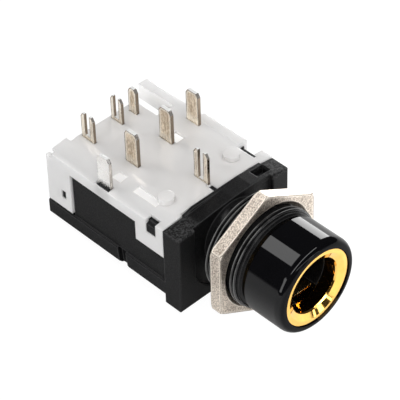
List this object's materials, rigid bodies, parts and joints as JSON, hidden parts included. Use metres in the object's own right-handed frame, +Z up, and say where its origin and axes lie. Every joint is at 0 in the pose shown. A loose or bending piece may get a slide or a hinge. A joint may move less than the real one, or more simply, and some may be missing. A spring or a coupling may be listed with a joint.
{
  "type": "board-mounting audio jack socket",
  "caption": "Audio jack socket for a circuit board and panel: black flanged body, threaded collar with hexagon nut, gold-ringed nose, white cover and flat terminals.",
  "frame": {"origin": "on the plug axis, in the plane of the flange's front face", "axes": "+X across the flange, +Y along the plug axis from the nose to the rear, +Z up the terminals"},
  "size_m": [0.0162, 0.0339, 0.0167],
  "materials": {
    "housing_black": "satin",
    "ferrule_black": "gloss",
    "bush_gold": "polished",
    "cover_white": "satin",
    "nut_nickel": "dull",
    "terminal_nickel": "satin",
    "spring_bronze": "satin"
  },
  "bodies": {
    "socket": {"housing": "housing_black", "nose_ferrule": "ferrule_black", "sleeve_bush": "bush_gold", "contact_cover": "cover_white", "terminal_rear_left": "terminal_nickel", "terminal_rear_mid": "terminal_nickel", "terminal_rear_right": "terminal_nickel", "terminal_right": "terminal_nickel", "terminal_mid_right": "terminal_nickel", "terminal_mid_left": "terminal_nickel", "terminal_left": "terminal_nickel", "terminal_front": "terminal_nickel", "tip_switch": "spring_bronze", "ring_switch": "spring_bronze"},
    "nut": {"panel_nut": "nut_nickel"},
    "tip_spring": {"tip_leaf": "spring_bronze"},
    "ring_spring": {"ring_leaf": "spring_bronze"},
    "sleeve_spring": {"sleeve_leaf": "spring_bronze"}
  },
  "joints": [
    {"name": "nut_turn", "type": "hinge", "parent": "socket", "child": "nut", "pos_m": [0, -0.00412, 0], "axis": [0, -1, 0], "continuous": true},
    {"name": "tip_flex", "type": "hinge", "parent": "socket", "child": "tip_spring", "pos_m": [0.00392, 0.01225, 0], "axis": [0, 0, -1], "range_deg": [0, 11], "stiffness_Nm_per_rad": 0.01},
    {"name": "ring_flex", "type": "hinge", "parent": "socket", "child": "ring_spring", "pos_m": [-0.00378, 0.01185, 0], "axis": [0, 0, -1], "range_deg": [0, 10], "stiffness_Nm_per_rad": 0.01},
    {"name": "sleeve_flex", "type": "hinge", "parent": "socket", "child": "sleeve_spring", "pos_m": [0, 0.00335, -0.00373], "axis": [1, 0, 0], "range_deg": [0, 4], "stiffness_Nm_per_rad": 0.01}
  ]
}
